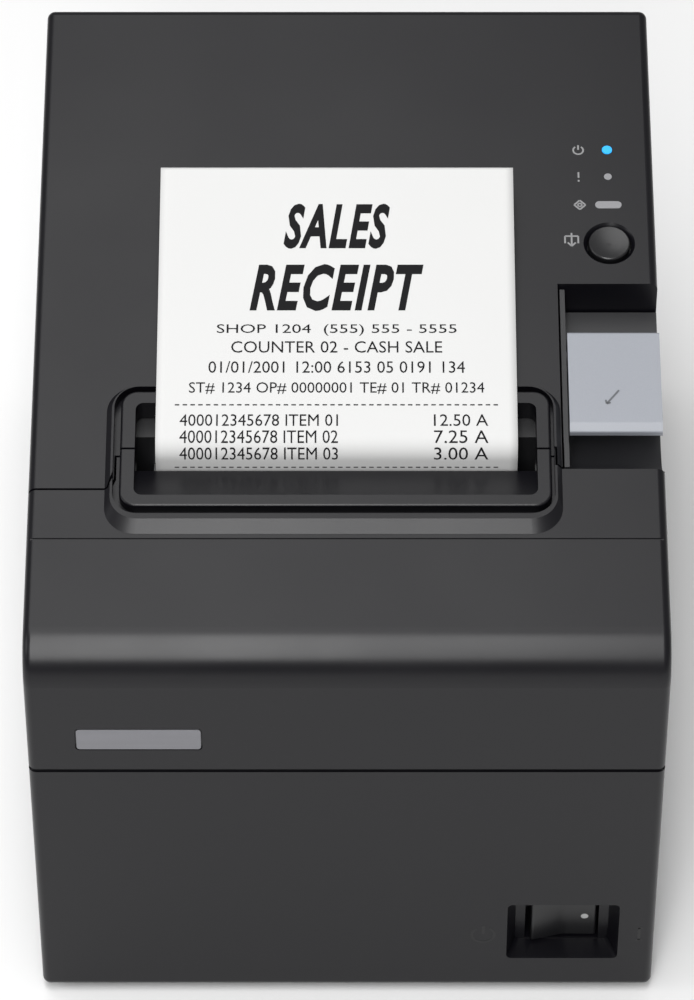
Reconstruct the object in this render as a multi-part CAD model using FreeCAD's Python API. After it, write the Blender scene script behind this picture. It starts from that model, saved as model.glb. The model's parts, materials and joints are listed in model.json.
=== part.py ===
import FreeCAD, Part
import math
import os

# Thermal receipt printer for 80 mm roll paper.
# Row frame: X to the right, Y to the back, Z up, origin on the table under the middle of the case.

# ---- driving dimensions (mm) ----
WIDTH = 140.0
DEPTH = 199.0
FOOT_H = 2.0
WALL = 2.5
SEAM = 0.5                # gap between covers that move apart
CASE_SPLIT_Z = 78.0       # bottom case to upper case
SKIRT_Z = 96.0            # upper case to roll cover
CREST_Z = 114.0           # front crest of the sloping deck
CREST_R = 10.5
REAR_TOP_Y, REAR_TOP_Z = 76.0, 146.09
HINGE_R = 6.8             # rear corner, concentric with the cover hinge
DECK_ANGLE = math.degrees(math.atan2(REAR_TOP_Z - CREST_Z, REAR_TOP_Y + DEPTH / 2))

PAPER_X0, PAPER_X1 = -42.3, 37.7
PAPER_T = 0.3
PAPER_Y = -46.0           # plane in which the paper climbs past the print line
PAPER_BEND_Z = 120.8
PAPER_BEND_R = 5.0
PAPER_RISE = 14.66        # degrees that the free end climbs
PAPER_FREE = 69.4         # straight length after the bend

ROLL_R = 34.0
CORE_R = 9.0
BIN_R = 43.0
BIN_Y, BIN_Z = 22.0, 88.6
BIN_X0, BIN_X1 = -43.5, 38.5
ROLL_Z = BIN_Z - BIN_R + 0.4 + ROLL_R
WEB_TURN_Z = 92.0

PLATEN_R = 6.0
PLATEN_Y = PAPER_Y + PAPER_T / 2 + 0.05 + PLATEN_R
PLATEN_Z = 98.0
SHAFT_R = 3.0
BUSH_R = 5.0
PLATE_L = (-46.5, -45.3)  # left chassis plate, x range
PLATE_R = (40.5, 41.7)    # right chassis plate, x range
ARM_L = (-48.2, -47.0)
ARM_R = (42.0, 43.2)

FEED_MODULE = 0.7
PLATEN_TEETH, IDLER_TEETH, PINION_TEETH = 15, 24, 12
GEAR_X0, GEAR_X1 = 43.5, 46.5
CUT_MODULE = 0.8
CRANK_TEETH, CUT_PINION_TEETH = 24, 12
MESH_SLACK = 0.1          # extra centre distance of every gear pair

HEAD_PIVOT_Y, HEAD_PIVOT_Z = -52.0, 84.5
LATCH_Y, LATCH_Z = -26.0, 89.0

CRANK_X, CRANK_Y = -2.2, -78.0
CRANK_ARM = 2.7
CRANK_SWEEP = 120.0
CUT_SHAFT_R = 0.98
SHAFT_BORE_R = 1.1        # motor bores that a shaft turns in
KNOB_R = 6.5
KNOB_NOTCHES = 18
BLADE_Z = 109.3

LEVER_PIVOT_S, LEVER_PIVOT_H = 84.0, -5.0
LEVER_PIN_R = 1.48
LEVER_BORE_R = 1.55
LEVER_EARS = (53.2, 63.2)
BUTTON_X, BUTTON_S, BUTTON_R = 59.4, 111.0, 4.7
ROCKER_X = 49.1
ROCKER_TILT = 7.0

HALF_W = WIDTH / 2
FRONT_Y = -DEPTH / 2
REAR_Y = DEPTH / 2


# ---- helpers ----
def box(x0, x1, y0, y1, z0, z1):
    return Part.makeBox(x1 - x0, y1 - y0, z1 - z0, FreeCAD.Vector(x0, y0, z0))


def rod_x(x0, x1, y, z, r):
    return Part.makeCylinder(r, x1 - x0, FreeCAD.Vector(x0, y, z), FreeCAD.Vector(1, 0, 0))


def rod_y(x, y0, y1, z, r):
    return Part.makeCylinder(r, y1 - y0, FreeCAD.Vector(x, y0, z), FreeCAD.Vector(0, 1, 0))


def rod_z(x, y, z0, z1, r):
    return Part.makeCylinder(r, z1 - z0, FreeCAD.Vector(x, y, z0), FreeCAD.Vector(0, 0, 1))


def fuse(shapes):
    whole = shapes[0].fuse(shapes[1:]) if len(shapes) > 1 else shapes[0]
    return whole.removeSplitter()


def outline(corners, place):
    """Closed face through (u, v, radius) corners, runs joined by tangent arcs; place maps (u, v) to 3-D."""
    count = len(corners)
    entry, middle, leave = [], [], []
    for i, (u, v, r) in enumerate(corners):
        pu, pv = corners[i - 1][0] - u, corners[i - 1][1] - v
        nu, nv = corners[(i + 1) % count][0] - u, corners[(i + 1) % count][1] - v
        pl, nl = math.hypot(pu, pv), math.hypot(nu, nv)
        pu, pv, nu, nv = pu / pl, pv / pl, nu / nl, nv / nl
        half = math.acos(max(-1.0, min(1.0, pu * nu + pv * nv))) / 2
        run = r / math.tan(half)
        bu, bv = pu + nu, pv + nv
        bl = math.hypot(bu, bv)
        reach = r / math.sin(half) - r
        entry.append(place(u + pu * run, v + pv * run))
        middle.append(place(u + bu / bl * reach, v + bv / bl * reach))
        leave.append(place(u + nu * run, v + nv * run))
    edges = []
    for i in range(count):
        if corners[i][2] > 0:
            edges.append(Part.Arc(entry[i], middle[i], leave[i]).toShape())
        start, end = leave[i], entry[(i + 1) % count]
        if start.distanceToPoint(end) > 1e-4:
            edges.append(Part.LineSegment(start, end).toShape())
    return Part.Face(Part.Wire(edges))


def prism_x(corners, x0, x1):
    """Side profile of (y, z, radius) corners, extruded along X."""
    face = outline(corners, lambda y, z: FreeCAD.Vector(x0, y, z))
    return face.extrude(FreeCAD.Vector(x1 - x0, 0, 0))


def prism_y(corners, y0, y1):
    """Front profile of (x, z, radius) corners, extruded along Y."""
    face = outline(corners, lambda x, z: FreeCAD.Vector(x, y0, z))
    return face.extrude(FreeCAD.Vector(0, y1 - y0, 0))


def prism_z(corners, z0, z1):
    """Plan of (x, y, radius) corners, extruded along Z."""
    face = outline(corners, lambda x, y: FreeCAD.Vector(x, y, z0))
    return face.extrude(FreeCAD.Vector(0, 0, z1 - z0))


def pad(x0, x1, y0, y1, z0, z1, r):
    """Box with rounded upright corners."""
    return prism_z([(x0, y0, r), (x1, y0, r), (x1, y1, r), (x0, y1, r)], z0, z1)


def frustum(low, high, z0, z1):
    """Loft between two rounded rectangles, each (x0, x1, y0, y1, r)."""
    wires = []
    for (x0, x1, y0, y1, r), z in ((low, z0), (high, z1)):
        corners = [(x0, y0, r), (x1, y0, r), (x1, y1, r), (x0, y1, r)]
        wires.append(outline(corners, lambda x, y, z=z: FreeCAD.Vector(x, y, z)).OuterWire)
    return Part.makeLoft(wires, True, True)


def on_deck(shape):
    """Moves a shape built in deck space (x, s along the slope, h above it) into the row frame."""
    placed = shape.copy()
    placed.rotate(FreeCAD.Vector(0, 0, 0), FreeCAD.Vector(1, 0, 0), DECK_ANGLE)
    placed.translate(FreeCAD.Vector(0, FRONT_Y, CREST_Z))
    return placed


def deck_y(s, h=0.0):
    angle = math.radians(DECK_ANGLE)
    return FRONT_Y + s * math.cos(angle) - h * math.sin(angle)


def deck_z(s, h=0.0):
    angle = math.radians(DECK_ANGLE)
    return CREST_Z + s * math.sin(angle) + h * math.cos(angle)


def turned(shape, centre, axis, degrees):
    moved = shape.copy()
    moved.rotate(FreeCAD.Vector(*centre), FreeCAD.Vector(*axis), degrees)
    return moved


def gear(module, teeth, width, bore, phase):
    """Involute spur gear about Z from z = 0, with a tooth centred at phase degrees."""
    pitch_r = module * teeth / 2
    base_r = pitch_r * math.cos(math.radians(20))
    tip_r = pitch_r + module * 0.95
    root_r = pitch_r - module * 1.2
    start_r = max(base_r, root_r)
    slack = 0.06 / pitch_r

    def half_angle(radius):
        roll = math.sqrt(max((radius / base_r) ** 2 - 1, 0.0))
        rise = roll - math.atan(roll)
        pressure = math.radians(20)
        return math.pi / (2 * teeth) + math.tan(pressure) - pressure - rise - slack

    points = []
    for tooth in range(teeth):
        centre = math.radians(phase) + 2 * math.pi * tooth / teeth
        rings = [root_r] + [start_r + (tip_r - start_r) * k / 3 for k in range(4)]
        left = [(r, centre - half_angle(max(r, start_r))) for r in rings]
        right = [(r, centre + half_angle(max(r, start_r))) for r in reversed(rings)]
        for r, angle in left + right:
            points.append(FreeCAD.Vector(r * math.cos(angle), r * math.sin(angle), 0))
    points.append(points[0])
    blank = Part.Face(Part.makePolygon(points)).extrude(FreeCAD.Vector(0, 0, width))
    return blank.cut(rod_z(0, 0, -1, width + 1, bore)) if bore > 0 else blank


def gear_on_x(module, teeth, bore, phase, y, z):
    """Gear turned so that its axis runs along X; phase is measured from +Y towards +Z."""
    blank = gear(module, teeth, GEAR_X1 - GEAR_X0, bore, phase)
    blank.rotate(FreeCAD.Vector(0, 0, 0), FreeCAD.Vector(1, 1, 1), 120)
    blank.translate(FreeCAD.Vector(GEAR_X0, y, z))
    return blank


def coil(x, y0, y1, z, radius, wire_r, turns):
    """Compression spring along Y."""
    helix = Part.makeHelix((y1 - y0 - 2 * wire_r) / turns, y1 - y0 - 2 * wire_r, radius)
    ring = Part.Wire(Part.makeCircle(wire_r, FreeCAD.Vector(radius, 0, 0), FreeCAD.Vector(0, 1, 0)))
    spring = Part.Wire(helix).makePipeShell([ring], True, True)
    spring.rotate(FreeCAD.Vector(0, 0, 0), FreeCAD.Vector(1, 0, 0), -90)
    spring.translate(FreeCAD.Vector(x, y0 + wire_r, z))
    return spring


def save(name, shape):
    solids = shape.Solids
    out = solids[0] if len(solids) == 1 else Part.makeCompound(solids)
    room = out.BoundBox
    print("%-18s solids %d valid %s volume %.0f" % (name, len(solids), out.isValid(), out.Volume),
          "x %.1f %.1f  y %.1f %.1f" % (room.XMin, room.XMax, room.YMin, room.YMax),
          "z %.1f %.1f" % (room.ZMin, room.ZMax))
    out.exportStep("parts/%s.step" % name)


# ---- outer form ----
PROFILE = [(FRONT_Y, FOOT_H, 2.0), (REAR_Y, FOOT_H, 2.0), (REAR_Y, 104.0, HINGE_R),
           (REAR_TOP_Y, REAR_TOP_Z, 2.0), (FRONT_Y, CREST_Z, CREST_R)]


def inset(corners, depth):
    """Offsets a convex counter-clockwise outline inwards."""
    count = len(corners)
    lines = []
    for i in range(count):
        (u0, v0, _), (u1, v1, _) = corners[i], corners[(i + 1) % count]
        length = math.hypot(u1 - u0, v1 - v0)
        nu, nv = -(v1 - v0) / length, (u1 - u0) / length
        lines.append((nu, nv, nu * u0 + nv * v0 + depth))
    moved = []
    for i in range(count):
        (a, b, c), (d, e, f) = lines[i - 1], lines[i]
        det = a * e - b * d
        moved.append(((c * e - b * f) / det, (a * f - c * d) / det, max(corners[i][2] - depth, 0.4)))
    return moved


def rounded_body():
    body = prism_x(PROFILE, -HALF_W, HALF_W)
    sides = [e for e in body.Edges
             if abs(e.BoundBox.XMin - e.BoundBox.XMax) < 1e-6 and abs(abs(e.BoundBox.XMin) - HALF_W) < 1e-6]
    return body.makeFillet(1.8, sides)


BODY = rounded_body()
HOLLOW = prism_x(inset(PROFILE, WALL), -HALF_W + WALL, HALF_W - WALL)
SHELL = BODY.cut(HOLLOW)

hinge_corner = inset(PROFILE, HINGE_R)[2]
HINGE_Y, HINGE_Z = hinge_corner[0], hinge_corner[1]
HINGE_EARS = (-59.0, 59.0)
HINGE_KNUCKLES = (-64.0, -54.0, 54.0, 64.0)

# seam stations on the deck, as plan-view Y
SEAM_LEFT = deck_y(44.0)
SEAM_RIGHT = deck_y(49.6)
SEAM_LIP = deck_y(54.0)
DECK_CUT_X, DECK_CUT_Y = 47.4, deck_y(99.7)
TONGUE_X0, TONGUE_X1 = -50.8, 45.8
FAR = 120.0

# lip ring and rim round the paper mouth, (x0, x1, s0, s1, corner radius) in deck space
RIM_FOOT = (-53.2, 47.3, 32.5, 71.5, 6.8)
RIM_TOP = (-52.0, 46.2, 35.8, 70.9, 6.0)
MOAT = (-51.5, 45.7, 37.2, 70.8, 5.5)
LIP = (-50.0, 45.0, 39.3, 69.9, 3.7)
MOUTH = (-46.8, 41.9, 42.2, 66.6, 1.8)
RIM_H = 1.2


def front_zone():
    plan = [(-FAR, -FAR, 0), (FAR, -FAR, 0), (FAR, SEAM_RIGHT, 0), (TONGUE_X1, SEAM_RIGHT, 0),
            (TONGUE_X1, SEAM_LIP, 0), (TONGUE_X0, SEAM_LIP, 0), (TONGUE_X0, deck_y(48.0), 0),
            (-52.4, SEAM_LEFT, 0), (-FAR, SEAM_LEFT, 0)]
    return prism_z(plan, CASE_SPLIT_Z + SEAM, 160)


def roll_zone():
    plan = [(-FAR, 84, 0), (-FAR, SEAM_LEFT + SEAM, 0), (-52.7, SEAM_LEFT + SEAM, 0),
            (TONGUE_X0 - SEAM, deck_y(48.0) + SEAM, 0), (TONGUE_X0 - SEAM, SEAM_LIP + SEAM, 0),
            (TONGUE_X1 + SEAM, SEAM_LIP + SEAM, 0), (TONGUE_X1 + SEAM, SEAM_RIGHT + SEAM, 0),
            (DECK_CUT_X, SEAM_RIGHT + SEAM, 0), (DECK_CUT_X, DECK_CUT_Y, 0),
            (FAR, DECK_CUT_Y, 0), (FAR, 84, 0)]
    low = prism_z(plan, SKIRT_Z + SEAM, 160)
    return fuse([low, box(-FAR, FAR, 83.9, 110, HINGE_Z, 160), rod_x(-FAR, FAR, HINGE_Y, HINGE_Z, HINGE_R)])


def mouth_surround():
    """Raised rim, moat and lip ring in deck space, before the seam divides it."""
    rim = frustum(RIM_FOOT, RIM_TOP, 0, RIM_H)
    base = pad(*RIM_FOOT[:4], -5.0, 0.02, RIM_FOOT[4])
    moat = pad(*MOAT[:4], -1.6, 3.0, MOAT[4])
    lip = pad(*LIP[:4], -5.0, 0.9, LIP[4])
    top_edges = [e for e in lip.Edges if e.BoundBox.ZMin > 0.89]
    lip = lip.makeFillet(0.6, top_edges)
    mouth = pad(*MOUTH[:4], -30.0, 5.0, MOUTH[4])
    return rim.fuse(base).cut(moat).fuse(lip).cut(mouth)


def chute():
    """Slope that leads from the front lip down to the paper slot, in deck space."""
    drop = [(41.0, 0.2, 0), (42.4, 0.4, 0), (52.2, -4.6, 0.4), (52.2, -6.4, 0.4), (41.0, -5.0, 0)]
    face = outline(drop, lambda s, h: FreeCAD.Vector(MOUTH[0] - 0.5, s, h))
    return face.extrude(FreeCAD.Vector(MOUTH[1] - MOUTH[0] + 1.0, 0, 0))


def mouth_cut():
    return on_deck(pad(*MOUTH[:4], -30.0, 6.0, MOUTH[4]))


SURROUND = on_deck(mouth_surround()).common(BODY.fuse(on_deck(box(-60, 60, 20, 90, -8, 4))))
MOAT_CUT = on_deck(pad(*MOAT[:4], -1.6, 6.0, MOAT[4]).cut(pad(*LIP[:4], -9.0, 9.0, LIP[4])))


# ---- covers and case ----
def front_cover():
    skin = SHELL.fuse(SURROUND).cut(mouth_cut()).cut(MOAT_CUT).common(front_zone())
    slide = on_deck(chute()).common(front_zone())
    crease = on_deck(box(-FAR, FAR, 31.0, 31.5, -0.25, 2))
    badge_bed = pad(-59.4, -31.6, 84.9, 91.9, -1, 1, 1.0)
    badge_bed.rotate(FreeCAD.Vector(0, 0, 0), FreeCAD.Vector(1, 0, 0), 90)
    badge_bed.translate(FreeCAD.Vector(0, FRONT_Y - 0.4, 0))
    ribs = []
    for x in (-60.0, -20.0, 20.0, 56.0):
        rib = box(x - 0.8, x + 0.8, FRONT_Y + 1.0, FRONT_Y + 5.0, CASE_SPLIT_Z + 4, 100)
        ribs.append(rib)
    return fuse([skin, slide] + ribs).cut(crease).cut(badge_bed)


def roll_cover():
    skin = SHELL.fuse(SURROUND).cut(mouth_cut()).cut(MOAT_CUT).common(roll_zone())
    wall_front = SEAM_RIGHT + SEAM
    side = prism_x([(wall_front, deck_z(50, -9), 0), (DECK_CUT_Y, deck_z(99.7, -10), 0),
                    (DECK_CUT_Y, deck_z(99.7, -1), 0), (wall_front, deck_z(50, -1), 0)],
                   TONGUE_X1 + SEAM, DECK_CUT_X)
    back = box(DECK_CUT_X - 1.0, HALF_W - 0.6, DECK_CUT_Y, DECK_CUT_Y + 1.8,
               SKIRT_Z + SEAM, deck_z(99.7, -1))
    parts = [skin, side, back.common(BODY)]
    for x in HINGE_KNUCKLES:
        knuckle = rod_x(x - 3, x + 3, HINGE_Y, HINGE_Z, 5.0)
        web = prism_x([(HINGE_Y - 4.5, HINGE_Z - 1, 0), (HINGE_Y + 3.0, HINGE_Z + 2, 0),
                       (HINGE_Y - 1.0, HINGE_Z + 12, 0), (HINGE_Y - 4.5, HINGE_Z + 12, 0)], x - 3, x + 3)
        parts.append(knuckle.fuse(web).common(BODY))
    for x in (-30.0, 0.0, 28.0):
        parts.append(on_deck(box(x - 0.8, x + 0.8, 76, 172, -6.0, -2.0)).common(BODY))
    shape = fuse(parts)
    bores = [rod_x(x - 3.5, x + 3.5, HINGE_Y, HINGE_Z, 1.85) for x in HINGE_KNUCKLES]
    holes = [button_hole(), lamp_hole(137.5, 1.2), lamp_hole(129.8, 0.95),
             on_deck(pad(56.45, 62.55, 120.75, 122.85, -6, 3, 1.0))]
    return shape.cut(bores + holes)


def button_hole():
    hole = rod_z(BUTTON_X, BUTTON_S, -8, 3, BUTTON_R + 0.35)
    sink = Part.makeCone(BUTTON_R + 0.35, BUTTON_R + 1.2, 0.9,
                         FreeCAD.Vector(BUTTON_X, BUTTON_S, -0.85), FreeCAD.Vector(0, 0, 1))
    return on_deck(hole.fuse(sink))


def lamp_hole(s, r):
    return on_deck(rod_z(59.6, s, -6, 3, r + 0.05))


def bottom_case():
    tub = SHELL.common(box(-FAR, FAR, -FAR, FAR, 0, CASE_SPLIT_Z))
    bosses = [rod_z(x, y, FOOT_H + 1, CASE_SPLIT_Z - 6, BOSS_R) for x, y in CORNER_SCREWS]
    floor_posts = [rod_z(x, y, FOOT_H + 1, BOARD_Z, 3.0) for x, y in BOARD_POSTS]
    bracket_posts = [rod_z(x, y, FOOT_H + 1, FOOT_H + 11, 3.6) for x, y in BRACKET_HOLES]
    chassis_posts = [box(x - 4, x + 4, y - 3, y + 3, FOOT_H + 1, CHASSIS_Z) for x, y in CHASSIS_POSTS]
    whole = fuse([tub] + bosses + floor_posts + bracket_posts + chassis_posts)
    cuts = [rod_z(x, y, 0, 40, 1.55) for x, y in CORNER_SCREWS]
    cuts += [rod_z(x, y, 0, FOOT_H + 3, 3.3) for x, y in CORNER_SCREWS]
    cuts += [rod_z(x, y, 0, FOOT_H + 12, 1.6) for x, y in BRACKET_HOLES]
    cuts += [rod_z(x, y, 0, FOOT_H + 1.2, 6.2) for x, y in FEET]
    cuts.append(switch_recess())
    cuts.append(box(PORT_X0 + 1.5, PORT_X1 - 1.5, REAR_Y - 8, REAR_Y + 1, PORT_Z0 + 1.5, PORT_Z1 - 1.5))
    cuts.append(box(PORT_X0, PORT_X1, REAR_Y - 1.0, REAR_Y + 1, PORT_Z0, PORT_Z1))
    for k in range(9):
        for side in (-1, 1):
            y = 8 + 5.5 * k
            x0 = side * HALF_W - 4
            cuts.append(box(x0, x0 + 8, y, y + 2.2, 16, 40))
    groove = BODY.cut(prism_z([(-HALF_W + 0.6, FRONT_Y + 0.6, 0), (HALF_W - 0.6, FRONT_Y + 0.6, 0),
                               (HALF_W - 0.6, REAR_Y - 0.6, 0), (-HALF_W + 0.6, REAR_Y - 0.6, 0)], 0, 160))
    cuts.append(groove.common(box(-FAR, FAR, -FAR, FAR, CASE_SPLIT_Z - 0.5, CASE_SPLIT_Z + 0.5)))
    return whole.cut(cuts)


# room for the rear slope of the roll cover when it lies back
REAR_RELIEF = box(-FAR, FAR, HINGE_Y + 2.0, FAR, HINGE_Z - 6.0, FAR)


def hinge_ear(x):
    """Gooseneck that reaches the hinge pin from the front, clear of the cover's swinging rear corner."""
    x0, x1 = x - 1.7, x + 1.7
    plate = box(x0, x1, HINGE_Y - 12, REAR_Y - 2, HINGE_Z - 16, HINGE_Z + 1.6)
    neck = box(x0, x1, HINGE_Y - 12, HINGE_Y, HINGE_Z - 2.2, HINGE_Z + 1.6)
    swing = rod_x(x0 - 1, x1 + 1, HINGE_Y, HINGE_Z, HINGE_R + 0.6)
    return plate.cut([swing, REAR_RELIEF]).fuse(
        [neck, rod_x(x0, x1, HINGE_Y, HINGE_Z, 4.0)])


def middle_case():
    ring = SHELL.common(box(-FAR, FAR, SEAM_LEFT + SEAM, FAR, CASE_SPLIT_Z, SKIRT_Z))
    ring = ring.cut(box(0, FAR, SEAM_LEFT - 2, SEAM_RIGHT + SEAM, 0, 160))
    rear = SHELL.common(box(-FAR, FAR, 84.5, FAR, SKIRT_Z - 0.5, HINGE_Z))
    ledge = [box(side * 65.6 - 2.0, side * 65.6 + 2.0, -40, 84, SKIRT_Z - 6, SKIRT_Z) for side in (-1, 1)]
    shell = fuse([ring, rear] + ledge).cut([rod_x(-FAR, FAR, HINGE_Y, HINGE_Z, HINGE_R + 0.6), REAR_RELIEF])
    ears = [hinge_ear(x) for x in HINGE_EARS]
    return fuse([shell] + ears).cut(rod_x(-80, 80, HINGE_Y, HINGE_Z, 1.8))


def lever_deck():
    """Fixed platform with the finger scoop under the lever."""
    x0, y0, y1 = DECK_CUT_X + SEAM, SEAM_RIGHT + SEAM, DECK_CUT_Y - SEAM
    block = BODY.common(box(x0, FAR, y0, y1, SKIRT_Z, 160))
    scoop_r, scoop_h = 12.5, 1.5
    scoop = Part.makeCylinder(scoop_r, 40, FreeCAD.Vector(x0 + 1.1, 62.0, scoop_h), FreeCAD.Vector(1, 0, 0))
    well = box(x0 + 1.1, FAR, 62.0, 88.5, -11.0, 10)
    back = box(x0 + 1.1, FAR, 88.0, 110, -8.3, 10)
    open_front = box(x0 + 1.1, FAR, 49.7, 62.0, scoop_h, 10)
    rail = box(x0 - 1, x0 + 2, 56.5, 110, -1.2, 10)
    under = box(x0 - 1.0, HALF_W - WALL, y0 + 1.6, y1 - 1.6, SKIRT_Z - 1, 130)
    lift = on_deck(box(0, 80, 45, 105, -40, -13.2)).common(under)
    cuts = [on_deck(s) for s in (scoop, well, back, open_front, rail)]
    ears = []
    for x in LEVER_EARS:
        stem = box(x, x + 2, LEVER_PIVOT_S - 2.5, LEVER_PIVOT_S + 2.5, -11.5, LEVER_PIVOT_H)
        ears.append(on_deck(stem.fuse(rod_x(x, x + 2, LEVER_PIVOT_S, LEVER_PIVOT_H, 2.5))))
    deck = block.cut(cuts).cut(lift)
    bore = rod_x(50, 69, deck_y(LEVER_PIVOT_S, LEVER_PIVOT_H), deck_z(LEVER_PIVOT_S, LEVER_PIVOT_H), 1.5)
    return fuse([deck] + ears).cut(bore)


def cover_lever():
    x0, x1 = 49.3, HALF_W - 0.1
    plate = [(60.0, -2.9, 0.8), (79.0, -2.9, 0.4), (81.0, -6.0, 0.6), (84.0, -8.3, 1.5),
             (87.0, -6.0, 1.0), (86.7, -0.2, 0.8), (62.0, 0.0, 0.8), (60.0, -0.9, 0.5)]
    face = outline(plate, lambda s, h: FreeCAD.Vector(x0, s, h))
    lever = face.extrude(FreeCAD.Vector(x1 - x0, 0, 0))
    gaps = [box(x - 0.5, x + 2.5, 77.5, 88.5, -12, -2.2) for x in LEVER_EARS]
    hollow = box(x0 + 1.5, x1 - 1.5, 62.5, 78, -3.5, -1.9)
    start = FreeCAD.Vector(45, LEVER_PIVOT_S, LEVER_PIVOT_H)
    pivot = Part.makeCylinder(LEVER_BORE_R, 40, start, FreeCAD.Vector(1, 0, 0))
    return on_deck(lever.cut(gaps + [hollow, pivot]))


def lever_pin():
    y = deck_y(LEVER_PIVOT_S, LEVER_PIVOT_H)
    z = deck_z(LEVER_PIVOT_S, LEVER_PIVOT_H)
    return rod_x(50.2, 68.8, y, z, LEVER_PIN_R)


def hinge_pins():
    return [rod_x(x - 8.4, x + 8.4, HINGE_Y, HINGE_Z, 1.78) for x in HINGE_EARS]


# ---- things fixed in the case ----
CORNER_SCREWS = [(-62, -66), (62, -66), (-62, 84), (62, 84)]
BOSS_R = 4.2
FEET = [(-54, -78), (54, -78), (-54, 78), (54, 78)]
BRACKET_HOLES = [(-40, -24), (40, -24), (-40, 76), (40, 76)]
BOARD_Z = 12.0
BOARD = (-12.0, 66.0, 10.0, 93.0)
BOARD_POSTS = [(-6, 24), (60, 24), (-6, 74), (60, 74)]
CHASSIS_Z = 40.0
CHASSIS_POSTS = [(-41, -56), (36, -56), (-41, -30), (36, -30)]
PORT_X0, PORT_X1, PORT_Z0, PORT_Z1 = -54.0, 64.0, 10.5, 41.0
INLET = (-50.0, -22.0, 14.5, 36.5)
USB = (-12.0, 0.5, 15.0, 26.5)
SERIAL = (5.0, 36.0, 15.0, 27.5)
DRAWER = (43.5, 57.5, 14.5, 29.0)
RECESS_OUT = (36.4, 61.8, 12.3, 31.4, 1.2)
RECESS_IN = (38.5, 59.7, 12.9, 30.9, 1.0)
RECESS_DEPTH = 5.4
ROCKER_Y = FRONT_Y + RECESS_DEPTH + 3.4
ROCKER_HALF = 7.6


def switch_recess():
    funnel = frustum(RECESS_OUT, RECESS_IN, 0, -RECESS_DEPTH)
    funnel.rotate(FreeCAD.Vector(0, 0, 0), FreeCAD.Vector(1, 0, 0), 90)
    funnel.translate(FreeCAD.Vector(0, FRONT_Y, 0))
    return funnel


def switch_housing():
    y0 = FRONT_Y + WALL
    back = FRONT_Y + RECESS_DEPTH
    block = box(34.5, 63.6, y0, back + 10, 10.8, 32.9)
    reach = ROCKER_HALF + 0.8
    pocket = box(ROCKER_X - reach, ROCKER_X + reach, back - 0.1, back + 8.2, 13.3, 30.5)
    pivot = rod_z(ROCKER_X, ROCKER_Y, 11.8, 31.9, 1.3)
    return block.cut([switch_recess(), pocket, pivot])


def power_rocker():
    y = ROCKER_Y
    half = ROCKER_HALF
    plan = [(-half, -3.9, 0.6), (0.0, -2.9, 6.0), (half, -3.9, 0.6), (half, -0.5, 0.4),
            (4.5, 3.0, 0.8), (-4.5, 3.0, 0.8), (-half, -0.5, 0.4)]
    moved = [(ROCKER_X + u, y + v, r) for u, v, r in plan]
    cap = prism_z(moved, 13.9, 29.9)
    pins = rod_z(ROCKER_X, y, 12.1, 31.6, 1.2)
    dot = rod_y(ROCKER_X + 4.8, y - 5, y - 3.2, 20.3, 0.9)
    return turned(cap.fuse(pins).cut(dot), (ROCKER_X, y, 0), (0, 0, 1), ROCKER_TILT)


def rubber_feet():
    return [rod_z(x, y, 0, FOOT_H + 1.2, 6.0) for x, y in FEET]


def case_screws():
    screws = []
    for x, y in CORNER_SCREWS:
        z0, z1 = FOOT_H + 0.6, FOOT_H + 2.8
        head = rod_z(x, y, z0, z1, 2.9)
        slot = box(x - 2, x + 2, y - 0.4, y + 0.4, z0 - 1, z0 + 0.8)
        cross = box(x - 0.4, x + 0.4, y - 2, y + 2, z0 - 1, z0 + 0.8)
        screws.append(head.fuse(rod_z(x, y, z1, 30, 1.5)).cut([slot, cross]))
    return screws


def paper_bin():
    cradle = rod_x(BIN_X0 - 2, BIN_X1 + 2, BIN_Y, BIN_Z, BIN_R + 2)
    cradle = cradle.common(box(-FAR, FAR, -9, FAR, 0, BIN_Z))
    rear = box(BIN_X0 - 2, BIN_X1 + 2, BIN_Y + BIN_R, BIN_Y + BIN_R + 2, BIN_Z, 98)
    room = rod_x(BIN_X0, BIN_X1, BIN_Y, BIN_Z, BIN_R)
    side = [(-20, 70, 2), (-9, 56, 2), (6, 46, 2), (22, 43.8, 6), (42, 48, 3), (58, 60, 3), (67, 80, 3),
            (67, 98, 0), (-20, 98, 3)]
    walls = [prism_x(side, BIN_X0 - 2, BIN_X0), prism_x(side, BIN_X1, BIN_X1 + 2)]
    flange = box(-40, 35, BIN_Y + BIN_R + 1, REAR_Y - WALL - 0.1, 90, 92)
    legs = [box(x, x + 5, -20, -14.3, FOOT_H + WALL + 0.1, 80) for x in (BIN_X0 - 6, BIN_X1 + 1)]
    return fuse([cradle.cut(room), rear, flange] + walls + legs)


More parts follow.
